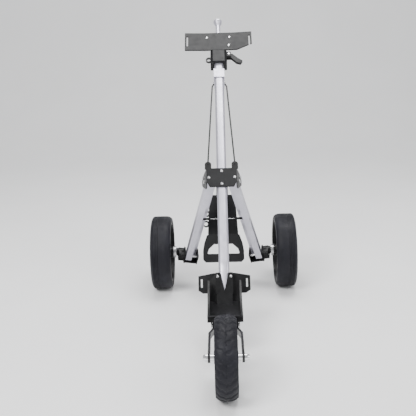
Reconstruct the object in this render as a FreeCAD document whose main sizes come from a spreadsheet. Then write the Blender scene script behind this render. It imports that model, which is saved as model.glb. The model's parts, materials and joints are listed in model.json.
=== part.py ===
"""Three-wheeled golf push trolley with folding parallelogram legs and a fold-down handle.

Millimetres, +Z up, -Y forwards, +X to the trolley's left. The origin is on the ground,
under the middle of the trolley's bounding box.
"""

import FreeCAD, Part

import math
import os

import Sketcher

Vector = FreeCAD.Vector
Rotation = FreeCAD.Rotation
Placement = FreeCAD.Placement

# ---------------------------------------------------------------- driving dimensions

DIMENSIONS = {
    # where things stand, measured forwards from the rear axle and up from the ground
    "ground_shift": 235.77,
    "track_half": 203.0,
    "hub_ahead": 150.0,
    "hub_high": 400.0,
    "wheelbase": 696.0,
    "tube_slope": 45.0,
    "tube_low_slope": 60.0,
    # main tube
    "tube_wide": 30.0,
    "tube_deep": 26.0,
    "tube_wall": 1.8,
    "tube_corner": 9.0,
    "tube_upper": 588.0,
    "tube_to_bend": 290.0,
    "tube_below_bend": 92.0,
    "bend_radius": 110.0,
    # stem on top of the main tube
    "stem_radius": 8.0,
    "stem_flare": 15.0,
    "stem_spigot": 11.0,
    "stem_flange": 13.0,
    "stem_top": 656.0,
    # upper bag bracket and its collar
    "collar_low": 454.0,
    "collar_tall": 48.0,
    "collar_wide": 56.0,
    "collar_deep": 50.0,
    "plate_low": 508.0,
    "plate_tall": 78.0,
    "plate_half": 115.0,
    "plate_flat": 48.0,
    "plate_wing_rise": 3.0,
    "plate_thick": 5.0,
    # hub where the legs join the tube
    "hub_tall": 66.0,
    "hub_front_half": 46.0,
    "hub_reach": 41.0,
    "sheet_thick": 3.0,
    "flare": 15.0,
    "pivot_back": 14.0,
    "pivot_radius": 4.0,
    "pivot_gap": 26.0,
    "pivot_turn": 75.0,
    # legs
    "leg_spread": 70.0,
    "leg_long": 317.0,
    "bar_wide": 24.0,
    "bar_thick": 20.0,
    "link_wide": 18.0,
    "link_thick": 16.0,
    "side_play": 1.0,
    "running_play": 0.05,
    # wheels
    "wheel_radius": 120.0,
    "tyre_wide": 66.0,
    "tyre_deep": 21.0,
    "axle_radius": 6.0,
    "front_radius": 100.0,
    "front_wide": 54.0,
    "front_tyre_deep": 17.0,
    "front_axle_radius": 5.0,
    # fork
    "fork_ahead": 515.0,
    "fork_high": 96.0,
    "fork_root_half": 24.0,
    "fork_tip_half": 41.0,
    "fork_wide": 16.0,
    "fork_thick": 6.0,
    # handle
    "handle_up": 410.0,
    "handle_back": 38.0,
    "handle_tilt": 24.3,
    "handle_tube_radius": 12.5,
    "handle_tube_long": 534.0,
    "board_start": 384.0,
    "board_end": 517.0,
    "board_half_top": 42.0,
    "board_half_low": 50.0,
    "board_thick": 5.0,
    "grip_half": 66.0,
    "grip_end": 606.0,
    "grip_thick": 26.0,
    # small parts
    "rivet_radius": 5.0,
    "rivet_tall": 3.0,
    "rod_radius": 2.5,
    "cable_radius": 1.0,
    "rear_holes": 7.0,
    "front_spokes": 5.0,
}

doc = FreeCAD.newDocument("PushTrolley")
sheet = doc.addObject("Spreadsheet::Sheet", "Size")
for row, (alias, number) in enumerate(DIMENSIONS.items(), start=1):
    sheet.set("A%d" % row, alias)
    sheet.set("B%d" % row, str(number))
    sheet.setAlias("B%d" % row, alias)
doc.recompute()

PARTS = []


def size(alias):
    """The number held in one cell of the sheet."""
    return float(sheet.get(alias))


def worth(owner, text):
    """The value of an expression, as a plain number."""
    answer = owner.evalExpression(text)
    return float(getattr(answer, "Value", answer))


# ---------------------------------------------------------------- frames of reference

def turn_x(degrees):
    return Rotation(Vector(1, 0, 0), degrees)


def at(x, y, z, rotation=None):
    return Placement(Vector(x, y, z), rotation or Rotation())


def station(ahead, high, across=0.0):
    """A point given by its distance ahead of the rear axle and its height."""
    return Vector(across, size("ground_shift") - ahead, high)


SLOPE = size("tube_slope")
LOW_SLOPE = size("tube_low_slope")
HUB = station(size("hub_ahead"), size("hub_high"))
TUBE = Placement(HUB, turn_x(SLOPE - 90))
BEND = TUBE.multVec(Vector(0, 0, -size("tube_to_bend")))
LOWER = Placement(BEND, turn_x(LOW_SLOPE - 90))
PIN = TUBE.multVec(Vector(0, size("handle_back"), size("handle_up")))
HANDLE = Placement(PIN, turn_x(180 - size("handle_tilt")))
WHEEL = Placement(station(0, size("wheel_radius"), size("track_half")), Rotation(Vector(0, 1, 0), 90))
FRONT_WHEEL = Placement(station(size("wheelbase"), size("front_radius")), Rotation(Vector(0, 1, 0), 90))
FORK = Placement(station(size("fork_ahead"), size("fork_high")), Rotation())


def leg_frame():
    """The left leg's frame: x along the leg, z outwards, origin on the main bar's hub pivot."""
    flare = math.radians(size("flare"))
    spread = math.radians(size("leg_spread"))
    outward = Vector(math.sin(flare), math.cos(flare), 0)
    down = Vector(0, 0, -1)
    along = down * math.cos(spread) + outward * math.sin(spread)
    up = outward * math.cos(spread) - down * math.sin(spread)
    rise = size("hub_reach") - size("pivot_back")
    rim = size("hub_front_half") + (size("hub_reach") + size("tube_deep") / 2 + size("sheet_thick")) * math.tan(flare)
    inset = (size("sheet_thick") + size("side_play") + size("bar_thick") / 2) / math.cos(flare)
    pivot = Vector(rim - rise * math.tan(flare) - inset, size("pivot_back"), 0)
    local = Placement(pivot, Rotation(along, up, along.cross(up), "XYZ"))
    return TUBE * local


LEG = leg_frame()
OUTER_GAP = size("bar_thick") / 2 + size("side_play")
INNER_GAP = OUTER_GAP + size("link_thick") + size("side_play")
LINK_X = size("pivot_gap") * math.cos(math.radians(size("pivot_turn")))
LINK_Y = size("pivot_gap") * math.sin(math.radians(size("pivot_turn")))


# ---------------------------------------------------------------- drawing helpers

def plane(body, role):
    return [item for item in body.Origin.OriginFeatures if item.Role == role][0]


def draw(body, role, corners, holes=(), start="0"):
    """A closed outline of straight edges with round holes, every point bound to the sheet."""
    sketch = body.newObject("Sketcher::SketchObject", "Outline")
    sketch.AttachmentSupport = [(plane(body, role), "")]
    sketch.MapMode = "FlatFace"
    sketch.setExpression("AttachmentOffset.Base.z", start)
    points = [Vector(worth(sketch, x), worth(sketch, y), 0) for x, y in corners]
    count = len(points)
    for index in range(count):
        sketch.addGeometry(Part.LineSegment(points[index], points[(index + 1) % count]))
    for index in range(count):
        sketch.addConstraint(Sketcher.Constraint("Coincident", index, 2, (index + 1) % count, 1))
    for index, (x, y) in enumerate(corners):
        bind_point(sketch, index, 1, x, y)
    for x, y, radius in holes:
        centre = Vector(worth(sketch, x), worth(sketch, y), 0)
        circle = sketch.addGeometry(Part.Circle(centre, Vector(0, 0, 1), worth(sketch, radius)))
        bind_point(sketch, circle, 3, x, y)
        spot = sketch.addConstraint(Sketcher.Constraint("Radius", circle, worth(sketch, radius)))
        sketch.setExpression("Constraints[%d]" % spot, radius)
    return sketch


def bind_point(sketch, element, end, x, y):
    for kind, text in (("DistanceX", x), ("DistanceY", y)):
        spot = sketch.addConstraint(Sketcher.Constraint(kind, -1, 1, element, end, worth(sketch, text)))
        sketch.setExpression("Constraints[%d]" % spot, text)


def slab(name, place, corners, thick, start="0", holes=(), role="XY_Plane", rounds=0.0):
    """A flat piece cut to an outline, with its upright edges rounded."""
    body = doc.addObject("PartDesign::Body", name)
    sketch = draw(body, role, corners, holes, start)
    pad = body.newObject("PartDesign::Pad", name + "_pad")
    pad.Profile = sketch
    pad.setExpression("Length", thick)
    doc.recompute()
    if rounds:
        normal = {"XY_Plane": Vector(0, 0, 1), "XZ_Plane": Vector(0, 1, 0), "YZ_Plane": Vector(1, 0, 0)}[role]
        round_edges(body, pad, name, normal, rounds)
    body.Placement = place
    return body


def round_edges(body, pad, name, normal, radius):
    edges = []
    for index, edge in enumerate(pad.Shape.Edges, start=1):
        if edge.Curve.TypeId == "Part::GeomLine" and abs(abs(edge.Curve.Direction.dot(normal)) - 1) < 1e-6:
            edges.append("Edge%d" % index)
    fillet = body.newObject("PartDesign::Fillet", name + "_rounds")
    fillet.Base = (pad, edges)
    fillet.Radius = radius
    body.Tip = fillet


def turned(name, place, corners):
    """A piece of revolution about its own z axis. Each corner is (radius, height)."""
    body = doc.addObject("PartDesign::Body", name)
    sketch = draw(body, "XZ_Plane", corners)
    spin = body.newObject("PartDesign::Revolution", name + "_turn")
    spin.Profile = sketch
    spin.ReferenceAxis = (sketch, ["V_Axis"])
    spin.Angle = 360
    body.Placement = place
    return body


def rod(name, place, radius, height):
    piece = doc.addObject("Part::Cylinder", name)
    piece.setExpression("Radius", radius)
    piece.setExpression("Height", height)
    piece.Placement = place
    return piece


def block(name, place, long, wide, high):
    piece = doc.addObject("Part::Box", name)
    for prop, text in (("Length", long), ("Width", wide), ("Height", high)):
        piece.setExpression(prop, text)
    piece.Placement = place
    return piece


def rod_between(name, first, last, radius):
    run = last - first
    return rod(name, Placement(first, Rotation(Vector(0, 0, 1), run)), radius, str(run.Length))


def fuse(name, pieces):
    joined = doc.addObject("Part::MultiFuse", name)
    joined.Shapes = pieces
    return joined


def group(name, pieces):
    """Identical fasteners kept together as separate solids."""
    held = doc.addObject("Part::Compound", name)
    held.Links = pieces
    return held


def cut(name, base, tools):
    tool = tools[0] if len(tools) == 1 else fuse(name + "_tools", tools)
    result = doc.addObject("Part::Cut", name)
    result.Base = base
    result.Tool = tool
    return result


def mirrored(name, source):
    copy = doc.addObject("Part::Mirroring", name)
    copy.Source = source
    copy.Normal = Vector(1, 0, 0)
    return copy


def keep(label, piece):
    piece.Label = label
    PARTS.append(piece)
    return piece


def pair(label, piece):
    """Keep a left-hand piece and its mirror image."""
    keep(label + "_left", piece)
    keep(label + "_right", mirrored(label + "_mirror", piece))


FACE_FRONT = turn_x(90)


def dome(name, frame, x, z, face, radius="Size.rivet_radius", tall="Size.rivet_tall"):
    """A rivet head on a face that looks towards the frame's -y, at height y = face."""
    place = frame * at(x, face, z, FACE_FRONT)
    corners = [("0", "0"), (radius, "0"), (radius + " * 0.85", tall + " * 0.6"),
               (radius + " * 0.45", tall), ("0", tall)]
    return turned(name, place, corners)


def rounded_section(body, wide, deep, corner):
    """A rounded rectangle centred on the origin of the body's XY plane."""
    sketch = body.newObject("Sketcher::SketchObject", "Section")
    sketch.AttachmentSupport = [(plane(body, "XY_Plane"), "")]
    sketch.MapMode = "FlatFace"
    for reach_x, reach_y, radius in ((wide, deep, corner), (wide - 2 * size("tube_wall"),
                                     deep - 2 * size("tube_wall"), corner - size("tube_wall"))):
        straight_x = reach_x / 2 - radius
        straight_y = reach_y / 2 - radius
        for sign_x, sign_y, first in ((1, 1, 0), (-1, 1, 90), (-1, -1, 180), (1, -1, 270)):
            centre = Vector(sign_x * straight_x, sign_y * straight_y, 0)
            circle = Part.Circle(centre, Vector(0, 0, 1), radius)
            sketch.addGeometry(Part.ArcOfCircle(circle, math.radians(first), math.radians(first + 90)))
        half_x, half_y = reach_x / 2, reach_y / 2
        for start, end in (((straight_x, half_y), (-straight_x, half_y)),
                           ((-half_x, straight_y), (-half_x, -straight_y)),
                           ((-straight_x, -half_y), (straight_x, -half_y)),
                           ((half_x, -straight_y), (half_x, straight_y))):
            sketch.addGeometry(Part.LineSegment(Vector(*start, 0), Vector(*end, 0)))
    return sketch


# ---------------------------------------------------------------- frame of the trolley

def main_tube():
    """One hollow tube, straight from the top and bent steeper just above the lower bracket."""
    body = doc.addObject("PartDesign::Body", "MainTube")
    section = rounded_section(body, size("tube_wide"), size("tube_deep"), size("tube_corner"))
    section.setExpression("AttachmentOffset.Base.z", "Size.tube_upper")
    path = body.newObject("Sketcher::SketchObject", "Path")
    path.AttachmentSupport = [(plane(body, "YZ_Plane"), "")]
    path.MapMode = "FlatFace"
    turn = math.radians(LOW_SLOPE - SLOPE)
    trim = size("bend_radius") * math.tan(turn / 2)
    radius = size("bend_radius")
    bend = -size("tube_to_bend")
    centre = Vector(radius, bend + trim, 0)
    away = Vector(math.sin(turn), -math.cos(turn), 0)
    start = Vector(0, bend + trim, 0)
    end = Vector(0, bend, 0) + away * trim
    path.addGeometry(Part.LineSegment(Vector(0, size("tube_upper"), 0), start))
    circle = Part.Circle(centre, Vector(0, 0, 1), radius)
    path.addGeometry(Part.ArcOfCircle(circle, math.pi, math.pi + turn))
    path.addGeometry(Part.LineSegment(end, Vector(0, bend, 0) + away * size("tube_below_bend")))
    pipe = body.newObject("PartDesign::AdditivePipe", "Pipe")
    pipe.Profile = section
    pipe.Spine = (path, [])
    body.Placement = TUBE
    return keep("main_tube", body)


def top_stem():
    """Round stem with a spigot inside the main tube, a flange on its end and a flared tip."""
    low = "Size.tube_upper - 28"
    corners = [("0", low), ("Size.stem_spigot", low), ("Size.stem_spigot", "Size.tube_upper"),
               ("Size.stem_flange", "Size.tube_upper"), ("Size.stem_flange", "Size.tube_upper + 3"),
               ("Size.stem_radius", "Size.tube_upper + 3"), ("Size.stem_radius", "Size.stem_top - 22"),
               ("Size.stem_flare", "Size.stem_top - 4"), ("Size.stem_flare", "Size.stem_top"),
               ("0", "Size.stem_top")]
    keep("top_stem", turned("TopStem", TUBE, corners))


def collar():
    """Clamp collar around the tube, with a strap ring on one side and lever ears on the other."""
    wide = size("collar_wide")
    deep = size("collar_deep")
    low = size("collar_low")
    middle = low + size("collar_tall") / 2
    half = [("-Size.collar_wide / 2", "-Size.collar_deep / 2 + 6"),
            ("-Size.collar_wide / 2 + 8", "-Size.collar_deep / 2"),
            ("Size.collar_wide / 2 - 8", "-Size.collar_deep / 2"),
            ("Size.collar_wide / 2", "-Size.collar_deep / 2 + 6"),
            ("Size.collar_wide / 2", "Size.collar_deep / 2"),
            ("-Size.collar_wide / 2", "Size.collar_deep / 2")]
    outer = slab("CollarBlock", TUBE, half, "Size.collar_tall", "Size.collar_low", rounds=2.5)
    bore = block("CollarBore", TUBE * at(-size("tube_wide") / 2 - 0.15, -size("tube_deep") / 2 - 0.15, low - 1),
                 "Size.tube_wide + 0.3", "Size.tube_deep + 0.3", "Size.collar_tall + 2")
    body = cut("CollarBody", outer, [bore])
    side = Rotation(Vector(1, 0, 0), -90)
    ring = rod("CollarRing", TUBE * at(-wide / 2 - 5, -3, middle, side), "11", "6")
    eye = rod("CollarEye", TUBE * at(-wide / 2 - 6, -4, middle, side), "6.5", "8")
    ears = [block("CollarEar%d" % number, TUBE * at(wide / 2 - 2, -deep / 2 + 6 + shift, low + 26),
                  "16", "5", "18") for number, shift in enumerate((0, 17))]
    lever_pin = TUBE * at(wide / 2 + 7, -deep / 2 + 4, low + 35, side)
    hole = rod("LeverHole", lever_pin, "3", "28")
    solid = fuse("CollarSolid", [body, cut("CollarRingOpen", ring, [eye])] + ears)
    keep("upper_collar", cut("Collar", solid, [hole]))
    pin_place = TUBE * at(wide / 2 + 7, -deep / 2 + 4.5, low + 35, side)
    keep("lever_pin", rod("LeverPin", pin_place, "3", "25"))


def clamp_lever():
    """Cam lever with a paddle that lies down along the collar's side when it is closed."""
    wide = size("collar_wide")
    deep = size("collar_deep")
    place = TUBE * at(wide / 2 + 7, -deep / 2 + 22.5, size("collar_low") + 35, Rotation(Vector(1, 0, 0), 90))
    outline = [("-6", "-7"), ("3", "-9"), ("24", "-33"), ("39", "-38"), ("46", "-26"), ("30", "-14"),
               ("12", "5"), ("1.5", "6"), ("-4.2", "4.2"), ("-6", "-2")]
    hole = [("0", "0", "3 + Size.running_play")]
    keep("clamp_lever", slab("ClampLever", place, outline, "11", "0", hole, rounds=2.5))


def upper_bracket():
    """Shallow cradle plate for the bag, with strap slots at both ends and one slanted corner."""
    front = size("tube_deep") / 2
    low = size("plate_low")
    tall = size("plate_tall")
    section = [("-Size.plate_half", "-Size.plate_wing_rise - 6"), ("-Size.plate_flat", "-6"),
               ("Size.plate_flat", "-6"), ("Size.plate_half", "-Size.plate_wing_rise - 6"),
               ("Size.plate_half", "-Size.plate_wing_rise - 6 + Size.plate_thick"),
               ("Size.plate_flat", "-6 + Size.plate_thick"),
               ("-Size.plate_flat", "-6 + Size.plate_thick"),
               ("-Size.plate_half", "-Size.plate_wing_rise - 6 + Size.plate_thick")]
    place = TUBE * at(0, -front, 0)
    plate = slab("CradlePlate", place, section, "Size.plate_tall", "Size.plate_low")
    slots = [block("StrapSlot%d" % number, TUBE * at(x, -60, low + 18), "5", "60", "Size.plate_tall - 34")
             for number, x in enumerate((-109, 104))]
    corner = [("62", "Size.plate_low - 1"), ("120", "Size.plate_low - 1"), ("120", "Size.plate_low + 26")]
    bevel = slab("CradleBevel", TUBE, corner, "70", "0", role="XZ_Plane")
    saddle = block("CradleSaddle", TUBE * at(-26, -front - 2, low), "52", "Size.tube_deep + 7", "Size.plate_tall")
    bore = block("CradleBore", TUBE * at(-size("tube_wide") / 2 - 0.15, -front - 0.15, low - 1),
                 "Size.tube_wide + 0.3", "Size.tube_deep + 0.3", "Size.plate_tall + 2")
    keep("upper_bracket", cut("UpperBracket", fuse("CradleSolid", [plate, saddle]), slots + [bevel, bore]))
    face = -front - 6
    heads = [dome("CradleRivet%d" % number, TUBE, x, low + z, face)
             for number, (x, z) in enumerate(((-39, tall - 22), (39, tall - 22), (36, 20)))]
    keep("upper_bracket_rivets", group("UpperBracketRivets", heads))


def hub_pin_holes(name, radius):
    """Four drills along the leg pivots, two on each side."""
    drills = []
    for number, (x, y) in enumerate(((0, 0), (LINK_X, LINK_Y))):
        left = rod("%sDrill%d" % (name, number), LEG * at(x, y, -45), radius, "80")
        drills += [left, mirrored("%sDrillMirror%d" % (name, number), left)]
    return drills


def hub():
    """Front and rear plates clasp the tube, and the legs turn between their side flanges."""
    slope = math.tan(math.radians(size("flare")))
    reach = size("hub_reach")
    wall = size("sheet_thick") / math.cos(math.radians(size("flare")))
    face = -size("tube_deep") / 2 - size("sheet_thick")
    rim = size("hub_front_half") + (reach - face) * slope
    inner_front = size("hub_front_half") + size("sheet_thick") * slope - wall
    section = [(-rim, reach), (-size("hub_front_half"), face), (size("hub_front_half"), face), (rim, reach),
               (rim - wall, reach), (inner_front, face + size("sheet_thick")),
               (-inner_front, face + size("sheet_thick")), (-rim + wall, reach)]
    section = [(str(x), str(y)) for x, y in section]
    plate = slab("HubFrontSheet", TUBE, section, "Size.hub_tall", "-Size.hub_tall / 2")
    side = [("16", "Size.hub_tall / 2 + 1"), ("Size.hub_reach + 1", "Size.hub_tall / 2 + 1"),
            ("Size.hub_reach + 1", "22")]
    low = [("-4", "-Size.hub_tall / 2 - 1"), ("Size.hub_reach + 1", "-Size.hub_tall / 2 - 1"),
           ("Size.hub_reach + 1", "4")]
    trims = [slab("HubTrim%d" % number, TUBE * at(-80, 0, 0), corners, "160", role="YZ_Plane")
             for number, corners in enumerate((side, low))]
    ears = []
    for number, sign in enumerate((1, -1)):
        ears.append(rod("HubEar%d" % number, TUBE * at(sign * 41, face, 47, turn_x(-90)), "10", "Size.sheet_thick"))
        ears.append(block("HubEarNeck%d" % number, TUBE * at(sign * 41 - 10, face, 30), "20",
                          "Size.sheet_thick", "17"))
    for number, sign in enumerate((1, -1)):
        corner = [(str(sign * 36), "-Size.hub_tall / 2 - 1"), (str(sign * 52), "-Size.hub_tall / 2 - 1"),
                  (str(sign * 52), "-12"), (str(sign * 46.5), "-12")]
        trims.append(slab("HubCorner%d" % number, TUBE * at(0, face + 4, 0), corner, "8", role="XZ_Plane"))
    rod_holes = [rod("HubEarHole%d" % number, TUBE * at(sign * 41, face - 5, 49, turn_x(-90)),
                     "Size.rod_radius + 0.2", "20") for number, sign in enumerate((1, -1))]
    front = cut("HubFrontPlate", fuse("HubFrontSolid", [plate] + ears),
                trims + rod_holes + hub_pin_holes("Front", "Size.pivot_radius"))
    keep("hub_front_plate", front)

    back = size("tube_deep") / 2 + 0.1
    inset = (OUTER_GAP + INNER_GAP) / math.cos(math.radians(size("flare")))

    def flange(y):
        return rim - wall - (reach - y) * slope - inset

    rear = [(-flange(reach), reach), (-flange(back), back), (flange(back), back), (flange(reach), reach),
            (flange(reach) - wall, reach), (flange(back) - wall, back + size("sheet_thick")),
            (-flange(back) + wall, back + size("sheet_thick")), (-flange(reach) + wall, reach)]
    sheet_rear = slab("HubRearSheet", TUBE, [(str(x), str(y)) for x, y in rear],
                      "Size.hub_tall", "-Size.hub_tall / 2 - 6")
    pockets = []
    for number, (x, y) in enumerate(((0, 0), (LINK_X, LINK_Y))):
        pocket = rod("HeadPocket%d" % number, LEG * at(x, y, -INNER_GAP - size("sheet_thick") - 4), "7", "4")
        pockets += [pocket, mirrored("HeadPocketMirror%d" % number, pocket)]
    drills = hub_pin_holes("Rear", "Size.pivot_radius")
    keep("hub_rear_plate", cut("HubRearPlate", sheet_rear, drills + pockets))

    spots = ((0, 22.5), (0, -22.5), (-39, 0), (39, 0))
    heads = [dome("HubRivet%d" % number, TUBE, x, z, face) for number, (x, z) in enumerate(spots)]
    keep("hub_rivets", group("HubRivets", heads))

    inside = -INNER_GAP - size("sheet_thick")
    outside = OUTER_GAP + size("sheet_thick")
    for number, (x, y) in enumerate(((0, 0), (LINK_X, LINK_Y))):
        shank = rod("PivotShank%d" % number, LEG * at(x, y, inside), "Size.pivot_radius",
                    str(outside - inside))
        heads = [rod("PivotHead%d%d" % (number, end), LEG * at(x, y, z), "6.5", "2.6")
                 for end, z in enumerate((inside - 2.6, outside))]
        pins = fuse("PivotPin%d" % number, [shank] + heads)
        label = ("bar_pivot_pin", "link_pivot_pin")[number]
        pair(label, pins)


def hinge_bracket():
    """Folded strap round the tube that carries the handle's pin behind it."""
    wide = size("tube_wide") / 2
    deep = size("tube_deep") / 2
    back = size("handle_back")
    section = [(-wide - 2.7, -deep - 2.7), (wide + 2.7, -deep - 2.7), (wide + 2.7, back + 10),
               (wide + 0.2, back + 10), (wide + 0.2, -deep - 0.2), (-wide - 0.2, -deep - 0.2),
               (-wide - 0.2, back + 10), (-wide - 2.7, back + 10)]
    strap = slab("HingeStrap", TUBE, [(str(x), str(y)) for x, y in section], "36", "Size.handle_up - 18")
    across = Rotation(Vector(0, 1, 0), 90)
    hole = rod("HingeHole", TUBE * at(-40, back, size("handle_up"), across), "4", "80")
    keep("hinge_bracket", cut("HingeBracket", strap, [hole]))
    span = wide + 2.7
    shank = rod("HingeShank", TUBE * at(-span, back, size("handle_up"), across), "4", "Size.tube_wide + 5.4")
    heads = [rod("HingeHead%d" % number, TUBE * at(x, back, size("handle_up"), across), "7", "3")
             for number, x in enumerate((-span - 3, span))]
    keep("hinge_pin", fuse("HingePin", [shank] + heads))


def stay_rods():
    """Thin rods from the hub's ears up beside the tube, each ending in a small hook."""
    face = -size("tube_deep") / 2 - size("sheet_thick")
    foot = TUBE.multVec(Vector(41, face + 6.4, 49))
    knee = TUBE.multVec(Vector(41, face + 6.4, 60))
    neck = TUBE.multVec(Vector(24, 4, 366))
    tip = TUBE.multVec(Vector(18.8, 6, 378))
    wire = [rod_between("StayRun%d" % number, first, last, "Size.rod_radius")
            for number, (first, last) in enumerate(((foot, knee), (knee, neck), (neck, tip)))]
    balls = []
    for number, point in enumerate((knee, neck)):
        ball = doc.addObject("Part::Sphere", "StayKnee%d" % number)
        ball.setExpression("Radius", "Size.rod_radius")
        ball.Placement = Placement(point, Rotation())
        balls.append(ball)
    back = TUBE * at(41, face - 2, 49, turn_x(-90))
    toe = rod("StayToe", back, "Size.rod_radius", "10.9")
    pair("stay_rod", fuse("StayRod", wire + balls + [toe]))


# ---------------------------------------------------------------- legs

def leg_bars():
    """The main bar and the link beside it, drilled at both ends for their pins."""
    half = "Size.bar_wide / 2"
    outline = [("-12", "-" + half), ("Size.leg_long + 12", "-" + half), ("Size.leg_long + 12", half),
               ("-12", half)]
    bore = "Size.pivot_radius + Size.running_play"
    holes = [("0", "0", bore), ("Size.leg_long", "0", bore)]
    pair("leg_bar", slab("LegBar", LEG, outline, "Size.bar_thick", "-Size.bar_thick / 2", holes, rounds=5))
    half = "Size.link_wide / 2"
    outline = [("-8", "-" + half), ("Size.leg_long + 8", "-" + half), ("Size.leg_long + 8", half), ("-8", half)]
    pair("leg_link", slab("LegLink", LEG * at(LINK_X, LINK_Y, 0), outline, "Size.link_thick",
                          "-Size.bar_thick / 2 - Size.side_play - Size.link_thick", holes, rounds=4))


def knuckle():
    """Bracket at the foot of each leg: two cheeks for the bars and a boss for the wheel's axle."""
    long = size("leg_long")
    foot = [("Size.leg_long - 14", "-15"), ("Size.leg_long + 22", "-15"), ("Size.leg_long + 26", "-6"),
            ("Size.leg_long + 26", "36"), ("Size.leg_long - 6", "36"), ("Size.leg_long - 14", "24")]
    cheeks = [slab("KnuckleCheek%d" % number, LEG, foot, "Size.sheet_thick", str(start), rounds=3)
              for number, start in enumerate((-INNER_GAP - size("sheet_thick"), OUTER_GAP))]
    web = block("KnuckleWeb", LEG * at(long + 21, -8, -INNER_GAP - 1), "5", "40", str(OUTER_GAP + INNER_GAP + 2))
    swell = [("Size.leg_long - 8", "-8"), ("Size.leg_long + 20", "-8"), ("Size.leg_long + 20", "30"),
             ("Size.leg_long - 8", "30")]
    pad = slab("KnucklePad", LEG, swell, "20", str(OUTER_GAP + size("sheet_thick") - 1), rounds=4)
    start = 132.0
    boss_foot = WHEEL * at(0, 0, start - size("track_half"))
    boss = rod("KnuckleBoss", boss_foot, "13", "25")
    drill = rod("KnuckleBore", WHEEL * at(0, 0, start + 3 - size("track_half")), "Size.axle_radius", "60")
    drills = [rod("KnuckleDrill%d" % number, LEG * at(long + x, y, -50), "Size.pivot_radius",
                  str(50 + OUTER_GAP + size("sheet_thick")))
              for number, (x, y) in enumerate(((0, 0), (LINK_X, LINK_Y)))]
    solid = fuse("KnuckleSolid", cheeks + [web, pad, boss])
    pair("knuckle", cut("Knuckle", solid, [drill] + drills))
    inside = INNER_GAP + size("sheet_thick")
    pins = []
    for number, (x, y) in enumerate(((0, 0), (LINK_X, LINK_Y))):
        shank = rod("FootShank%d" % number, LEG * at(long + x, y, -inside), "Size.pivot_radius",
                    str(inside + OUTER_GAP + size("sheet_thick")))
        head = rod("FootHead%d" % number, LEG * at(long + x, y, -inside - 2.6), "6.5", "2.6")
        pins.append(fuse("FootPin%d" % number, [shank, head]))
    pair("knuckle_pins", group("KnucklePins", pins))
    shank = rod("AxleShank", WHEEL * at(0, 0, start + 3 - size("track_half")), "Size.axle_radius",
                str(size("track_half") - start - 3 + 9.5))
    flange = rod("AxleFlange", WHEEL * at(0, 0, 157.8 - size("track_half")), "19", "8.2")
    pair("axle", fuse("Axle", [shank, flange]))


def limit_cable():
    """Thin cable between the legs, crimped into a sleeve on each of them."""
    face = -size("bar_thick") / 2
    lug = rod("CableLug", LEG * at(150, 0, face - 3), "6.5", "3")
    foot = LEG.multVec(Vector(150, 0, face - 2.2))
    tip = foot - Vector(26, 0, 0)
    sleeve = rod_between("CableSleeve", foot, tip, "3.6")
    pair("cable_end", fuse("CableEnd", [lug, sleeve]))
    other = Vector(-tip.x, tip.y, tip.z)
    keep("limit_cable", rod_between("LimitCable", tip, other, "Size.cable_radius"))


# ---------------------------------------------------------------- wheels

def rear_wheel():
    """Foam tyre with ribs by its outer edge, a dished rim with round holes, and a hub cap."""
    rim_r = "Size.wheel_radius - Size.tyre_deep"
    half = "Size.tyre_wide / 2"
    tread = [(rim_r, "-" + half), ("Size.wheel_radius - 9", "-" + half), ("Size.wheel_radius - 2", "-25"),
             ("Size.wheel_radius", "-14"), ("Size.wheel_radius", "5")]
    for rib in range(4):
        low = 6 + 5 * rib
        tread += [("Size.wheel_radius", str(low)), ("Size.wheel_radius - 1.8", str(low + 0.4)),
                  ("Size.wheel_radius - 1.8", str(low + 2)), ("Size.wheel_radius", str(low + 2.4))]
    tread += [("Size.wheel_radius - 1", "26"), ("Size.wheel_radius - 9", half), (rim_r, half)]
    pair("rear_tyre", turned("RearTyre", WHEEL, tread))
    web = [("9", "-36"), ("18", "-36"), ("20", "-12"), ("40", "-9"), ("84", "-9"), ("92", "-16"),
           (rim_r + " - 5", "-31"), (rim_r, "-31"), (rim_r, "31"), (rim_r + " - 5", "31"),
           (rim_r + " - 8", "-6"), ("82", "-3"), ("40", "-3"), ("20", "-3"), ("20", "8"), ("9", "8")]
    disc = turned("RearDisc", WHEEL, web)
    count = int(size("rear_holes"))
    holes = []
    for number in range(count):
        spoke = Rotation(Vector(0, 0, 1), 360.0 * number / count)
        holes.append(rod("RearHole%d" % number, WHEEL * at(0, 0, -20, spoke) * at(62, 0, 0), "16", "40"))
    pair("rear_rim", cut("RearRim", disc, holes))
    cap = [("0", "14"), ("27", "13"), ("34", "7"), ("36", "-2.9"), ("33", "-2.9"), ("32", "6"),
           ("26", "10"), ("0", "11")]
    pair("hub_cap", turned("HubCap", WHEEL, cap))
    bush = [("Size.axle_radius + Size.running_play", "-36"), ("9", "-36"), ("9", "8"),
            ("Size.axle_radius + Size.running_play", "8")]
    pair("wheel_bush", turned("WheelBush", WHEEL, bush))


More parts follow.
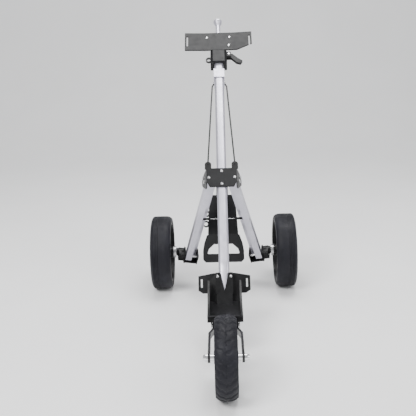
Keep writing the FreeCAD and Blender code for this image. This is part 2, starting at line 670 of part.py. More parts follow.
def front_wheel():
    """Narrower front wheel on five broad spokes, held by an axle bolt with domed nuts."""
    rim_r = "Size.front_radius - Size.front_tyre_deep"
    half = "Size.front_wide / 2"
    tread = [(rim_r, "-" + half), ("Size.front_radius - 8", "-" + half), ("Size.front_radius - 1.5", "-19"),
             ("Size.front_radius", "-9"), ("Size.front_radius", "9"), ("Size.front_radius - 1.5", "19"),
             ("Size.front_radius - 8", half), (rim_r, half)]
    keep("front_tyre", turned("FrontTyre", FRONT_WHEEL, tread))
    web = [("8", "-29"), ("15", "-29"), ("18", "-5"), ("70", "-5"), (rim_r + " - 4", "-25"), (rim_r, "-25"),
           (rim_r, "25"), (rim_r + " - 4", "25"), ("70", "5"), ("18", "5"), ("15", "29"), ("8", "29")]
    disc = turned("FrontDisc", FRONT_WHEEL, web)
    count = int(size("front_spokes"))
    window = [("30", "-9"), ("62", "-26"), ("69", "-16"), ("71", "0"), ("69", "16"), ("62", "26"), ("30", "9")]
    windows = []
    for number in range(count):
        spoke = Rotation(Vector(0, 0, 1), 360.0 * number / count + 90)
        windows.append(slab("FrontWindow%d" % number, FRONT_WHEEL * at(0, 0, 0, spoke), window, "70", "-35",
                            rounds=3))
    keep("front_rim", cut("FrontRim", disc, windows))
    bush = [("Size.front_axle_radius + Size.running_play", "-29"), ("8", "-29"), ("8", "29"),
            ("Size.front_axle_radius + Size.running_play", "29")]
    keep("front_bush", turned("FrontBush", FRONT_WHEEL, bush))
    outer = size("fork_tip_half") + size("fork_thick") / 2
    inner = outer - size("fork_thick")
    keep("front_axle", rod("FrontAxle", FRONT_WHEEL * at(0, 0, -outer - 5), "Size.front_axle_radius",
                           str(2 * outer + 10)))
    spacers = []
    nuts = []
    for number, flip in enumerate((0, 180)):
        side = FRONT_WHEEL * at(0, 0, 0, Rotation(Vector(0, 1, 0), flip))
        spacer = [("Size.front_axle_radius", "29.4"), ("8", "29.4"), ("8", str(inner)),
                  ("Size.front_axle_radius", str(inner))]
        spacers.append(turned("AxleSpacer%d" % number, side, spacer))
        nut = [("Size.front_axle_radius", str(outer)), ("9", str(outer)), ("9", str(outer + 5)),
               ("7.5", str(outer + 7)), ("6", str(outer + 11)), ("3", str(outer + 13)),
               ("0", str(outer + 13.5)), ("0", str(outer + 5)), ("Size.front_axle_radius", str(outer + 5))]
        nuts.append(turned("AxleNut%d" % number, side, nut))
    keep("axle_spacers", group("AxleSpacers", spacers))
    keep("axle_nuts", group("AxleNuts", nuts))


def fork():
    """Two splayed arms joined by a cross tube that turns on a pin under the lower bracket."""
    reach = size("wheelbase") - size("fork_ahead")
    tip = size("fork_tip_half")
    root = size("fork_root_half")
    half = size("fork_thick") / 2
    arms = []
    for number, sign in enumerate((1, -1)):
        plan = [(root - half, 6), (root - half, -22), (tip - half, -66), (tip - half, -reach - 9),
                (tip + half, -reach - 9), (tip + half, -64), (root + half, -20), (root + half, 6)]
        plan = [(str(sign * x), str(y)) for x, y in plan]
        arms.append(slab("ForkArm%d" % number, FORK, plan, "Size.fork_wide", "-5"))
    across = Rotation(Vector(0, 1, 0), 90)
    tube = rod("ForkTube", FORK * at(-root, 0, 0, across), "9", "2 * Size.fork_root_half")
    bore = rod("ForkBore", FORK * at(-50, 0, 0, across), "5 + Size.running_play", "100")
    eye = rod("ForkEye", FORK * at(-60, -reach, size("front_radius") - size("fork_high"), across),
              "Size.front_axle_radius", "120")
    keep("front_fork", cut("Fork", fuse("ForkSolid", arms + [tube]), [bore, eye]))
    shank = rod("ForkPinShank", FORK * at(-35, 0, 0, across), "5", "70")
    heads = [rod("ForkPinHead%d" % number, FORK * at(x, 0, 0, across), "8", "3")
             for number, x in enumerate((-38, 35))]
    keep("fork_pin", fuse("ForkPin", [shank] + heads))


def lower_bracket():
    """Moulded foot of the frame: bag arms, a shelf under the bag, and lugs for the front fork."""
    face = [("-73", "-22"), ("-73", "-62"), ("-60", "-70"), ("-47", "-70"), ("-47", "-95"), ("47", "-95"),
            ("47", "-70"), ("60", "-70"), ("73", "-62"), ("73", "-22"), ("30", "-14"), ("-30", "-14")]
    plate = slab("FootPlate", LOWER * at(0, 10, 0), face, "7", "0", role="XZ_Plane")
    high = size("fork_high")
    ahead = size("fork_ahead")
    shelf = block("FootShelf", FORK * at(-47, -6, 14), "94", str(ahead - 400), "6")
    lip = block("FootLip", FORK * at(-47, -12, 14), "94", "8", "16")
    cheek = [(str(ahead - 400), "14"), ("-6", "14"), ("-6", "30"), (str(ahead - 455), "38"),
             (str(ahead - 396), "78")]
    cheeks = [slab("FootCheek%d" % number, FORK * at(x, 0, 0), cheek, "6", role="YZ_Plane")
              for number, x in enumerate((-47, 41))]
    sleeve = block("FootSleeve", LOWER * at(-22, -20, -112), "44", "42", "42")
    lugs = [block("FootLug%d" % number, FORK * at(x, -12, -12), "6", "24", "28")
            for number, x in enumerate((-34, 28))]
    keel = block("FootKeel", FORK * at(-20, 70, -2), "40", str(ahead - 400 - 64), "20")
    anchor = block("SpringAnchor", FORK * at(-16, 18, -18), "8", "5", "33")
    shroud = block("FootShroud", LOWER * at(-24, -20, -74), "48", "24", "58")
    opening = [("-13", "-12"), ("0", "-66"), ("13", "-12")]
    notch = slab("FootNotch", LOWER * at(0, -12, 0), opening, "12", role="XZ_Plane")
    across = Rotation(Vector(0, 1, 0), 90)
    bore = block("FootBore", LOWER * at(-size("tube_wide") / 2 - 0.1, -size("tube_deep") / 2 - 0.1,
                                        -size("tube_below_bend") - 1),
                 "Size.tube_wide + 0.2", "Size.tube_deep + 0.2", "120")
    pin = rod("FootPinHole", FORK * at(-50, 0, 0, across), "5", "100")
    slots = [block("FootSlot%d" % number, LOWER * at(x, -20, -54), "5", "60", "24")
             for number, x in enumerate((-66, 61))]
    solid = fuse("FootSolid", [plate, shelf, lip, sleeve, keel, anchor, shroud] + cheeks + lugs)
    keep("lower_bracket", cut("LowerBracket", solid, [bore, pin, notch] + slots))
    heads = [dome("FootRivet%d" % number, LOWER, x, -27, -20, "4.2") for number, x in enumerate((-18.5, 18.5))]
    keep("lower_bracket_rivets", group("LowerBracketRivets", heads))
    pull = block("LatchPlate", FORK * at(-4, 11, -8), "20", "67", "4")
    tab = block("LatchTab", FORK * at(-16, 70, -26), "32", "8", "19")
    keep("latch_pull", fuse("LatchPull", [pull, tab]))
    along = Rotation(Vector(1, 0, 0), -90)
    keep("latch_spring", rod("LatchSpring", FORK * at(-12, 23, -13, along), "4.5", "47"))


# ---------------------------------------------------------------- handle

def handle():
    """Handle tube with the scorecard board, its hinged clear cover and the D-shaped grip."""
    tube = rod("HandleOuter", HANDLE * at(0, 0, -14), "Size.handle_tube_radius", "Size.handle_tube_long + 14")
    hollow = rod("HandleInner", HANDLE * at(0, 0, -15), "Size.handle_tube_radius - 1.5",
                 "Size.handle_tube_long + 16")
    hole = rod("HandlePinHole", HANDLE * at(-30, 0, 0, Rotation(Vector(0, 1, 0), 90)),
               "4 + Size.running_play", "60")
    keep("handle_tube", cut("HandleTube", tube, [hollow, hole]))

    face = "Size.handle_tube_radius"
    outline = [("-Size.board_half_top", "Size.board_start"), ("Size.board_half_top", "Size.board_start"),
               ("Size.board_half_low", "Size.board_end"), ("-Size.board_half_low", "Size.board_end")]
    sheet_part = slab("BoardSheet", HANDLE, outline, "Size.board_thick", face, role="XZ_Plane", rounds=5)
    back = -size("handle_tube_radius")
    rings = []
    eyes = []
    for number in range(3):
        z = 412 + 34 * number
        centre = -size("board_half_top") - 8 - 2.2 * number
        rings.append(rod("BallRing%d" % number, HANDLE * at(centre, back, z, FACE_FRONT), "11",
                         "Size.board_thick"))
        eyes.append(rod("BallEye%d" % number, HANDLE * at(centre - 1, back + 1, z, FACE_FRONT), "6", "9"))
    keep("scorecard_board", cut("Board", fuse("BoardSolid", [sheet_part] + rings), eyes))

    clear = [("-Size.board_half_top + 4", "Size.board_start + 16"),
             ("Size.board_half_top - 4", "Size.board_start + 16"),
             ("Size.board_half_low - 4", "Size.board_end - 5"), ("-Size.board_half_low + 4", "Size.board_end - 5")]
    keep("scorecard_cover", slab("Cover", HANDLE, clear, "1.4", face + " + Size.board_thick + 0.3",
                                 role="XZ_Plane", rounds=3))
    front = back - size("board_thick")
    keep("pencil_clip", rod("ClipPost", HANDLE * at(-32, front, 392, FACE_FRONT), "6", "6"))

    outer = [("-52", "518"), ("52", "518"), ("Size.grip_half - 4", "546"), ("Size.grip_half", "570"),
             ("Size.grip_half", "Size.grip_end - 8"), ("Size.grip_half - 8", "Size.grip_end"),
             ("-Size.grip_half + 8", "Size.grip_end"), ("-Size.grip_half", "Size.grip_end - 8"),
             ("-Size.grip_half", "570"), ("-Size.grip_half + 4", "546")]
    solid = slab("GripSolid", HANDLE, outer, "Size.grip_thick + 4", "-Size.grip_thick / 2 - 1",
                 role="XZ_Plane", rounds=6)
    window = [("-53", "580"), ("53", "580"), ("47", "562"), ("30", "547"), ("-30", "547"), ("-47", "562")]
    opening = slab("GripWindow", HANDLE, window, "90", "-45", role="XZ_Plane", rounds=4)
    socket = rod("GripSocket", HANDLE * at(0, 0, 500), "Size.handle_tube_radius", "34.2")
    keep("handle_grip", cut("Grip", solid, [opening, socket]))


main_tube()
top_stem()
collar()
clamp_lever()
upper_bracket()
hub()
hinge_bracket()
stay_rods()
leg_bars()
knuckle()
limit_cable()
rear_wheel()
front_wheel()
fork()
lower_bracket()
handle()

# ---------------------------------------------------------------- checks and export

doc.recompute()
for item in doc.Objects:
    if "Invalid" in item.State or "Error" in item.State:
        raise RuntimeError("%s did not build: %s" % (item.Name, item.State))
for piece in PARTS:
    if piece.Shape.isNull() or not piece.Shape.isValid():
        raise RuntimeError("%s has no valid shape" % piece.Label)
    if not piece.Shape.Solids:
        raise RuntimeError("%s has no solid" % piece.Label)

os.makedirs("parts", exist_ok=True)
whole = FreeCAD.BoundBox()
for piece in PARTS:
    piece.Shape.exportStep("parts/%s.step" % piece.Label)
    whole.add(piece.Shape.BoundBox)
print("%d nodes, box %s" % (len(PARTS), whole))
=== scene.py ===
import json
import math

import bmesh
import bpy
from mathutils import Matrix, Vector


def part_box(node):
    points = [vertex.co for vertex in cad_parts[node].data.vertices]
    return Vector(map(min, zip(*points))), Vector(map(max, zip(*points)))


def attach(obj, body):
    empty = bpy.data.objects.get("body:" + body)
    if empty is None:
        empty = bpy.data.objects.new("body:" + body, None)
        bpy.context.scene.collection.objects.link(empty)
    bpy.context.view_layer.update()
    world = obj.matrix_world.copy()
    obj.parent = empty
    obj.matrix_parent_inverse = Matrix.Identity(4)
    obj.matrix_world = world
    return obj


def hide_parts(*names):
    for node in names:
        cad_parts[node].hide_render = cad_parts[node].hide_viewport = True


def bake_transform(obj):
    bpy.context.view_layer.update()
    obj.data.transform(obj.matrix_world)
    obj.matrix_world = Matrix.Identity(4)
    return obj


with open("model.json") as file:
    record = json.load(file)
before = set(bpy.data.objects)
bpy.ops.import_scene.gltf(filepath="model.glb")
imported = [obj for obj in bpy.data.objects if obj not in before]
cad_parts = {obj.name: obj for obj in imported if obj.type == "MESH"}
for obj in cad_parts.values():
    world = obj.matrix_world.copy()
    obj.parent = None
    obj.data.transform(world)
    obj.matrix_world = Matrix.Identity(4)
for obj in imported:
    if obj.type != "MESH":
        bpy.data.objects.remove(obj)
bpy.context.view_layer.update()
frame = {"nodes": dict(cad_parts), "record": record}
NODES = frame["nodes"]
BODY_OF = {node: body for body, nodes in frame["record"]["behaviour"]["bodies"].items() for node in nodes}
SLOT_OF = {part["node"]: part["material_slot"] for part in frame["record"]["subparts"]}
MM = 0.001


# ------------------------------------------------------------------ frames, as in the CAD model

TUBE_SLOPE = 45
HANDLE_TURN = 155.7


def frame_at(x, y, z, axis="X", degrees=0.0):
    """A frame at a place in millimetres, turned about one axis."""
    return Matrix.Translation(Vector((x, y, z)) * MM) @ Matrix.Rotation(math.radians(degrees), 4, axis)


MIRROR = Matrix.Scale(-1, 4, Vector((1, 0, 0)))
TUBE = frame_at(0, 85.77, 400, "X", -TUBE_SLOPE)
FORK = frame_at(0, -279.23, 96)
HANDLE = frame_at(0, 402.557, 663.042, "X", HANDLE_TURN)
WHEEL = frame_at(203, 235.77, 120, "Y", 90)
FRONT_WHEEL = frame_at(0, -460.23, 100, "Y", 90)


# ------------------------------------------------------------------ materials

# Noise scales are per metre of object coordinates, and bump depths are in millimetres.
BLOTCH_SCALE = 14.0
SHEEN_SCALE, SHEEN_DETAIL = 60.0, 6.0
GRAIN_DETAIL = 3.0
BRUSHING_DEPTH, BRUSHING_STRENGTH = 0.03, 0.7
METAL_SPECULAR, PLAIN_SPECULAR = 0.5, 0.22
COAT_ROUGHNESS = 0.15


class Nodes:
    """A short way to wire up one material."""

    def __init__(self, name):
        self.material = bpy.data.materials.new(name)
        self.material.use_nodes = True
        self.tree = self.material.node_tree
        self.shader = self.tree.nodes["Principled BSDF"]
        self.place = self.add("ShaderNodeTexCoord").outputs["Object"]

    def add(self, kind, **settings):
        node = self.tree.nodes.new(kind)
        for key, value in settings.items():
            setattr(node, key, value)
        return node

    def link(self, source, target):
        self.tree.links.new(source, target)

    def stretched(self, turn, scale):
        """Object coordinates turned about x by some degrees, then scaled on each axis."""
        turned = self.add("ShaderNodeMapping")
        turned.inputs["Rotation"].default_value = (math.radians(turn), 0, 0)
        self.link(self.place, turned.inputs["Vector"])
        sized = self.add("ShaderNodeMapping")
        sized.inputs["Scale"].default_value = scale
        self.link(turned.outputs["Vector"], sized.inputs["Vector"])
        return sized.outputs["Vector"]

    def noise(self, scale, detail=4.0, vector=None):
        texture = self.add("ShaderNodeTexNoise")
        texture.inputs["Scale"].default_value = scale
        texture.inputs["Detail"].default_value = detail
        self.link(vector or self.place, texture.inputs["Vector"])
        return texture.outputs["Fac"]

    def ramp(self, source, low, high, first=0.35, last=0.65):
        """Spreads the values from first to last over the numbers or colours from low to high."""
        spread = self.add("ShaderNodeMapRange")
        spread.inputs["From Min"].default_value = first
        spread.inputs["From Max"].default_value = last
        self.link(source, spread.inputs["Value"])
        if isinstance(low, tuple):
            mix = self.add("ShaderNodeMix", data_type="RGBA")
            mix.inputs["A"].default_value = (*low, 1)
            mix.inputs["B"].default_value = (*high, 1)
            self.link(spread.outputs["Result"], mix.inputs["Factor"])
            return mix.outputs["Result"]
        spread.inputs["To Min"].default_value = low
        spread.inputs["To Max"].default_value = high
        return spread.outputs["Result"]

    def bump(self, height, depth_mm, strength=1.0, base=None):
        node = self.add("ShaderNodeBump")
        node.inputs["Strength"].default_value = strength
        node.inputs["Distance"].default_value = depth_mm * MM
        self.link(height, node.inputs["Height"])
        if base is not None:
            self.link(base, node.inputs["Normal"])
        return node.outputs["Normal"]


def finish_of(name, dark, light, rough, grain, depth=0.05, metal=0.0, lines=None, coat=0.0):
    """Blotchy colour, uneven roughness and a fine grain. Lines are (turn, scale) of a brushing."""
    nodes = Nodes(name)
    shader = nodes.shader
    shader.inputs["Metallic"].default_value = metal
    shader.inputs["Specular IOR Level"].default_value = METAL_SPECULAR if metal else PLAIN_SPECULAR
    shader.inputs["Coat Weight"].default_value = coat
    shader.inputs["Coat Roughness"].default_value = COAT_ROUGHNESS
    nodes.link(nodes.ramp(nodes.noise(BLOTCH_SCALE), dark, light), shader.inputs["Base Color"])
    nodes.link(nodes.ramp(nodes.noise(SHEEN_SCALE, SHEEN_DETAIL), *rough), shader.inputs["Roughness"])
    normal = nodes.bump(nodes.noise(grain, GRAIN_DETAIL), depth)
    if lines:
        brushed = nodes.noise(1.0, GRAIN_DETAIL, nodes.stretched(*lines))
        normal = nodes.bump(brushed, BRUSHING_DEPTH, BRUSHING_STRENGTH, normal)
    nodes.link(normal, shader.inputs["Normal"])
    return nodes.material


def cover_finish():
    """Pale frosted sheet with fine ruled lines across it."""
    paper, ink = (0.83, 0.82, 0.89), (0.55, 0.53, 0.66)
    ink_from, ink_full = 0.72, 0.95
    nodes = Nodes("cover_finish")
    shader = nodes.shader
    shader.inputs["Transmission Weight"].default_value = 0.12
    shader.inputs["Coat Weight"].default_value = 0.4
    wave = nodes.add("ShaderNodeTexWave", wave_type="BANDS", bands_direction="Z")
    wave.inputs["Scale"].default_value = 42.0
    wave.inputs["Distortion"].default_value = 0.05
    nodes.link(nodes.stretched(-HANDLE_TURN, (1, 1, 1)), wave.inputs["Vector"])
    tone = nodes.ramp(wave.outputs["Fac"], paper, ink, ink_from, ink_full)
    nodes.link(tone, shader.inputs["Base Color"])
    nodes.link(nodes.ramp(nodes.noise(90.0), 0.2, 0.34), shader.inputs["Roughness"])
    nodes.link(nodes.bump(nodes.noise(500.0), 0.03), shader.inputs["Normal"])
    return nodes.material


# Each finish: darker colour, lighter colour, least and most roughness, then its grain.
MATERIALS = {
    "aluminium": finish_of("aluminium", (0.55, 0.54, 0.61), (0.64, 0.63, 0.7), (0.34, 0.46),
                           grain=900.0, depth=0.02, metal=0.85, lines=(TUBE_SLOPE, (900, 900, 14))),
    "black_plastic": finish_of("black_plastic", (0.0035, 0.0035, 0.004), (0.008, 0.008, 0.009), (0.3, 0.42),
                               grain=1300.0),
    "grip_rubber": finish_of("grip_rubber", (0.004, 0.004, 0.0045), (0.009, 0.009, 0.01), (0.42, 0.56),
                             grain=1500.0, depth=0.08),
    "tyre_foam": finish_of("tyre_foam", (0.006, 0.006, 0.009), (0.013, 0.013, 0.018), (0.48, 0.62),
                           grain=1100.0, depth=0.1),
    "zinc": finish_of("zinc", (0.62, 0.62, 0.63), (0.75, 0.75, 0.75), (0.18, 0.3),
                      grain=1200.0, depth=0.03, metal=1.0),
    "chrome": finish_of("chrome", (0.78, 0.78, 0.79), (0.86, 0.86, 0.87), (0.06, 0.12),
                        grain=600.0, depth=0.01, metal=1.0),
    "black_steel": finish_of("black_steel", (0.004, 0.004, 0.0045), (0.007, 0.007, 0.008), (0.2, 0.3),
                             grain=500.0, depth=0.03, coat=0.3),
    "bush_nylon": finish_of("bush_nylon", (0.4, 0.4, 0.38), (0.5, 0.5, 0.48), (0.4, 0.5), grain=800.0),
    "clear_cover": cover_finish(),
}


# ------------------------------------------------------------------ mesh helpers

WELD_GAP, CAD_WELD_GAP = 1e-6, 2e-6
CREASE, CAD_CREASE = 40.0, 32.0
FLAT_WITHIN = 1.5


def paint(obj, slot):
    if obj.material_slots:
        for holder in obj.material_slots:
            holder.material = MATERIALS[slot]
    else:
        obj.data.materials.append(MATERIALS[slot])


def in_scene(name, data):
    obj = bpy.data.objects.new(name, data)
    bpy.context.scene.collection.objects.link(obj)
    return obj


def shade_smooth(mesh, crease):
    """Smooth shading, with a sharp edge wherever faces meet at more than crease degrees."""
    mesh.polygons.foreach_set("use_smooth", [True] * len(mesh.polygons))
    mesh.set_sharp_from_angle(angle=math.radians(crease))


def new_object(name, verts, faces):
    mesh = bpy.data.meshes.new(name)
    mesh.from_pydata([tuple(v) for v in verts], [], faces)
    tidy = bmesh.new()
    tidy.from_mesh(mesh)
    bmesh.ops.remove_doubles(tidy, verts=tidy.verts, dist=WELD_GAP)
    bmesh.ops.recalc_face_normals(tidy, faces=tidy.faces)
    tidy.to_mesh(mesh)
    tidy.free()
    shade_smooth(mesh, CREASE)
    return in_scene(name, mesh)


def stand_in(obj, *nodes):
    """The object takes the place, body and slot of CAD nodes."""
    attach(obj, BODY_OF[nodes[0]])
    paint(obj, SLOT_OF[nodes[0]])
    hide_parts(*nodes)


def band(first, second, count):
    """Quads between two rings of count vertices, which start at vertices first and second."""
    return [(first + i, first + (i + 1) % count, second + (i + 1) % count, second + i) for i in range(count)]


def lathe(name, place, profile, steps, carve):
    """A closed profile of (radius, height) in millimetres, carved and spun about the frame's z axis."""
    verts = []
    for step in range(steps):
        angle = 2 * math.pi * step / steps
        for radius, height in profile:
            radius = carve(radius, height, angle)
            point = Vector((radius * math.cos(angle), radius * math.sin(angle), height)) * MM
            verts.append(place @ point)
    count = len(profile)
    faces = []
    for step in range(steps):
        faces += band(step * count, (step + 1) % steps * count, count)
    return new_object(name, verts, faces)


def swept(name, stations, section):
    """A section of (x, y) millimetres carried through a list of frames, capped at both ends."""
    verts = [place @ (Vector((x, y, 0)) * MM) for place in stations for x, y in section]
    count = len(section)
    last = (len(stations) - 1) * count
    faces = []
    for first in range(0, last, count):
        faces += band(first, first + count, count)
    faces += [tuple(range(count)), tuple(range(last, last + count))]
    return new_object(name, verts, faces)


def path_frames(points):
    """Frames along a line of points, z along the line, without twist."""
    frames = []
    normal = None
    for index, point in enumerate(points):
        ahead = points[min(index + 1, len(points) - 1)]
        behind = points[max(index - 1, 0)]
        along = (ahead - behind).normalized()
        if normal is None:
            normal = along.orthogonal().normalized()
        normal = (normal - along * normal.dot(along)).normalized()
        side = along.cross(normal)
        basis = Matrix((normal, side, along)).transposed().to_4x4()
        frames.append(Matrix.Translation(point) @ basis)
    return frames


def ring_section(radius, count):
    return [(radius * math.cos(2 * math.pi * i / count), radius * math.sin(2 * math.pi * i / count))
            for i in range(count)]


def softened(node, width, segments):
    """A copy of a CAD node with its edges rounded, standing for that node."""
    mesh = NODES[node].data.copy()
    clean = bmesh.new()
    clean.from_mesh(mesh)
    bmesh.ops.remove_doubles(clean, verts=clean.verts, dist=CAD_WELD_GAP)
    bmesh.ops.dissolve_limit(clean, angle_limit=math.radians(FLAT_WITHIN), verts=clean.verts,
                             edges=clean.edges, use_dissolve_boundaries=False)
    clean.to_mesh(mesh)
    clean.free()
    shade_smooth(mesh, CAD_CREASE)
    obj = in_scene(node + "_finished", mesh)
    bevel = obj.modifiers.new("rounded", "BEVEL")
    bevel.width = width * MM
    bevel.segments = segments
    bevel.limit_method = "ANGLE"
    bevel.angle_limit = math.radians(CAD_CREASE)
    bevel.harden_normals = True
    stand_in(obj, node)


# ------------------------------------------------------------------ main tube

def flipped(points, x_sign, y_sign):
    return [(x_sign * x, y_sign * y) for x, y in points]


def grooved_section():
    """Rounded rectangle with three fine grooves on each narrow side, from its lower right corner round."""
    half_wide, half_deep, radius, steps = 15.0, 13.0, 9.0, 8
    groove_gap, groove_depth, mouth_half, floor_half = 2.7, 0.55, 0.75, 0.4
    flat = half_deep - radius
    side = [(half_wide, -flat)]
    for middle in (-groove_gap, 0.0, groove_gap):
        side += [(half_wide, middle - mouth_half), (half_wide - groove_depth, middle - floor_half),
                 (half_wide - groove_depth, middle + floor_half), (half_wide, middle + mouth_half)]
    side.append((half_wide, flat))
    corner = []
    for step in range(1, steps + 1):
        angle = math.radians(90 * step / steps)
        corner.append((half_wide - radius + radius * math.cos(angle), flat + radius * math.sin(angle)))
    inward = corner[::-1]
    # Both left corners are one point short: the upper beside the flat side, the lower at its inner end.
    return (flipped(inward, 1, -1) + side + corner + flipped(inward[:-1], -1, 1)
            + flipped(side[::-1], -1, 1) + flipped(corner[:-1], -1, -1))


def main_tube():
    """The tube from its top end down to the bend, round it, and straight on to the lower end."""
    top, spacing, straight = 588.0, 60.0, 14
    turn, radius, bend, below, steps = math.radians(15), 110.0, -290.0, 92.0, 8
    trim = radius * math.tan(turn / 2)
    spots = [(0.0, top - spacing * step, 0.0) for step in range(straight)]
    for step in range(steps + 1):
        angle = turn * step / steps
        spots.append((radius - radius * math.cos(angle), bend + trim - radius * math.sin(angle), angle))
    last_y, last_z, _ = spots[-1]
    run = below - trim
    spots.append((last_y + run * math.sin(turn), last_z - run * math.cos(turn), turn))
    stations = [TUBE @ frame_at(0, y, z, "X", math.degrees(angle)) for y, z, angle in spots]
    stand_in(swept("main_tube_grooved", stations, grooved_section()), "main_tube")


# ------------------------------------------------------------------ wheels

def wheel_place(side):
    return WHEEL if side == "left" else MIRROR @ WHEEL


def rear_tyre(side):
    """Tread with four grooves that leave ribs on its outer half, and fine slanted bars beside them."""
    radius, half, inner = 120.0, 33.0, 99.0
    groove_first, groove_gap, groove_count, groove_depth = 6.4, 4.9, 4, 1.9
    bars, slant, bar_depth = 150, 1.6, 0.45
    outline = [(inner, -half), (110.0, -half), (114.0, -31.0), (118.0, -25.0), (119.6, -18.0),
               (radius, -10.0)]
    outline += [(radius, -8.0 + step) for step in range(13)]
    for groove in range(groove_count):
        low = groove_first + groove_gap * groove
        outline += [(radius, low), (radius - groove_depth, low + 0.3), (radius - groove_depth, low + 1.9),
                    (radius, low + 2.2)]
    outline += [(radius - 0.6, 26.0), (117.0, 29.0), (112.0, 32.0), (108.0, half), (inner, half)]

    def carve(r, z, angle):
        on_tread = r > 119.0 and -8.5 < z < 5.0
        if on_tread and math.sin(angle * bars + z * slant) > 0.0:
            r -= bar_depth
        return r

    tyre = lathe("rear_tyre_" + side + "_ribbed", wheel_place(side), outline, 720, carve)
    stand_in(tyre, "rear_tyre_" + side)


def hub_cap(side):
    """Round cap with a sunk ring, standing on a scalloped platform."""
    outline = [(0.01, 11.0), (0.01, 14.2), (10.0, 14.0), (19.0, 13.3), (20.0, 11.9), (21.6, 11.9),
               (22.6, 13.0), (26.0, 12.3), (28.6, 10.5), (29.5, 7.5), (31.0, 4.5), (35.8, 3.6), (36.0, 2.2),
               (36.0, -2.9), (31.0, -2.9), (29.0, 4.0), (24.0, 9.0)]
    scallops, scallop_depth, platform_from = 7, 2.4, 33.0

    def carve(r, z, angle):
        if r > platform_from:
            r -= scallop_depth * (0.5 - 0.5 * math.cos(angle * scallops)) ** 2
        return r

    cap = lathe("hub_cap_" + side + "_ringed", wheel_place(side), outline, 196, carve)
    stand_in(cap, "hub_cap_" + side)


def front_tyre():
    """Rounded tread with wavy chevron blocks and a groove round its middle."""
    radius, shoulder_drop, half_steps, step_wide = 100.0, 8.5, 13, 2.0
    inner, shoulder, half = 83.0, 91.0, 27.0
    chevrons, lean, block_depth, middle_depth = 26, 0.19, 1.5, 0.8
    outline = [(inner, -half), (shoulder, -half)]
    outline += [(radius - shoulder_drop * (abs(step) / half_steps) ** 3.2, step_wide * step)
                for step in range(-half_steps, half_steps + 1)]
    outline += [(shoulder, half), (inner, half)]

    def carve(r, z, angle):
        if r > 92.0 and abs(z) < 25.0:
            wave = math.sin(angle * chevrons + lean * abs(z) + 0.5 * math.sin(z * 0.5))
            r -= block_depth * min(1.0, max(0.0, (wave - 0.25) * 3.0))
            if abs(z) < 1.0:
                r -= middle_depth
        return r

    stand_in(lathe("front_tyre_chevrons", FRONT_WHEEL, outline, 624, carve), "front_tyre")


# ------------------------------------------------------------------ spring and cable

def latch_spring():
    """Open-wound extension spring with a short straight leg at each end."""
    turns, around, coil, wire = 16, 16, 3.6, 0.55
    x, z, leg_rise = -12, -13, 2.5
    start, end = 29.5, 63.5
    points = [Vector((x, 23.6, z)), Vector((x, 26.0, z + leg_rise))]
    for step in range(turns * around + 1):
        angle = 2 * math.pi * step / around
        along = start + (end - start) * step / (turns * around)
        points.append(Vector((x + coil * math.sin(angle), along, z + coil * math.cos(angle))))
    points += [Vector((x, 67.0, z + leg_rise)), Vector((x, 69.4, z))]
    points = [FORK @ (point * MM) for point in points]
    obj = swept("latch_spring_coil", path_frames(points), ring_section(wire, 8))
    paint(obj, "zinc")
    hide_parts("latch_spring")
    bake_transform(obj)


def limit_cable():
    """Cable between the legs in two halves, each stretching from the middle to its own leg's sleeve."""
    low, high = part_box("limit_cable")
    middle = (Vector(low) + Vector(high)) / 2
    reach, wire, steps = high[0], 0.95, 12
    for side, sign in (("left", 1), ("right", -1)):
        points = [middle + Vector((sign * reach * step / steps, 0, 0)) for step in range(steps + 1)]
        obj = swept("limit_cable_" + side, path_frames(points), ring_section(wire, 10))
        paint(obj, "zinc")
        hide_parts("limit_cable")
        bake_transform(obj)


# ------------------------------------------------------------------ the whole trolley

main_tube()
for side in ("left", "right"):
    rear_tyre(side)
    hub_cap(side)
front_tyre()
latch_spring()
limit_cable()

# Width in millimetres of each rounded edge. One this wide or wider takes twice the segments.
WIDE_EDGE = 3
ROUNDED = {
    "upper_bracket": 0.9, "upper_collar": 1.2, "clamp_lever": 1.2, "hub_front_plate": 0.7,
    "hub_rear_plate": 0.6, "hinge_bracket": 0.5, "leg_bar_left": 1.4, "leg_bar_right": 1.4,
    "leg_link_left": 1.2, "leg_link_right": 1.2, "knuckle_left": 1.0, "knuckle_right": 1.0,
    "rear_rim_left": 0.8, "rear_rim_right": 0.8, "front_rim": 0.8, "front_fork": 1.1,
    "lower_bracket": 1.2, "latch_pull": 0.8, "scorecard_board": 0.9, "handle_grip": 4.5,
}
for node, width in ROUNDED.items():
    softened(node, width, 4 if width >= WIDE_EDGE else 2)

for node, obj in NODES.items():
    if not obj.hide_render:
        paint(obj, SLOT_OF[node])


# ------------------------------------------------------------------ floor, light and camera, in metres

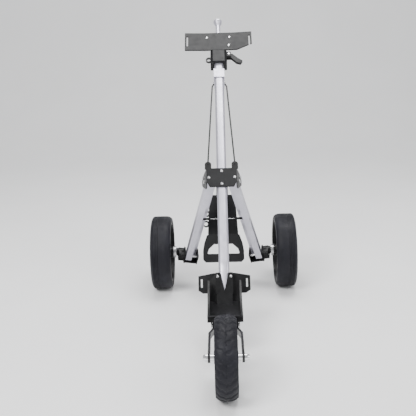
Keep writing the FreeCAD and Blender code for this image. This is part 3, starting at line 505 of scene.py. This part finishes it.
def floor():
    """Pale floor from 7 m in front, which curves up into a wall 3.6 m behind and 5 m high."""
    front, curve_start, curve_radius, steps = -7.0, 2.2, 1.4, 12
    wall, wall_top, half_wide = 3.6, 5.0, 6.0
    line = [(front, 0.0), (curve_start, 0.0)]
    for step in range(1, steps + 1):
        angle = math.pi / 2 * step / steps
        line.append((curve_start + curve_radius * math.sin(angle),
                     curve_radius - curve_radius * math.cos(angle)))
    line.append((wall, wall_top))
    verts = [(x, y, z) for y, z in line for x in (-half_wide, half_wide)]
    faces = [(2 * i, 2 * i + 1, 2 * i + 3, 2 * i + 2) for i in range(len(line) - 1)]
    obj = new_object("floor", verts, faces)
    nodes = Nodes("floor_finish")
    tone = nodes.ramp(nodes.noise(2.0), (0.9, 0.9, 0.9), (0.93, 0.93, 0.93))
    nodes.link(tone, nodes.shader.inputs["Base Color"])
    nodes.shader.inputs["Roughness"].default_value = 0.75
    obj.data.materials.append(nodes.material)


def sky():
    world = bpy.data.worlds.new("studio")
    world.use_nodes = True
    background = world.node_tree.nodes["Background"]
    background.inputs["Color"].default_value = (0.93, 0.94, 0.96, 1)
    background.inputs["Strength"].default_value = 0.7
    bpy.context.scene.world = world


def area_light(name, spot, target, power, wide):
    """A rectangle of light, 0.7 as high as it is wide, turned towards the target."""
    lamp = bpy.data.lights.new(name, "AREA")
    lamp.energy = power
    lamp.shape = "RECTANGLE"
    lamp.size = wide
    lamp.size_y = wide * 0.7
    obj = in_scene(name, lamp)
    obj.location = spot
    obj.rotation_euler = (Vector(target) - Vector(spot)).to_track_quat("-Z", "Y").to_euler()


def camera():
    lens = bpy.data.cameras.new("camera")
    lens.sensor_width = 36.0
    lens.lens = 60.0
    lens.shift_y = -0.09
    spot, look_down, yaw, roll = (0.0, -1.964, 0.900), 12.9, 0.02, -0.03
    pitch = math.radians(90 - look_down)
    turn = Matrix.Rotation(yaw, 4, "Z") @ Matrix.Rotation(pitch, 4, "X") @ Matrix.Rotation(roll, 4, "Z")
    obj = in_scene("camera", lens)
    obj.matrix_world = Matrix.Translation(spot) @ turn
    bpy.context.scene.camera = obj


floor()
sky()
area_light("key", (-1.3, -1.9, 2.3), (0, 0, 0.4), power=75, wide=1.2)
area_light("fill", (1.8, -1.2, 1.5), (0, 0, 0.4), power=20, wide=1.6)
area_light("top", (0.2, 0.4, 2.6), (0, 0.1, 0.3), power=60, wide=1.8)
camera()
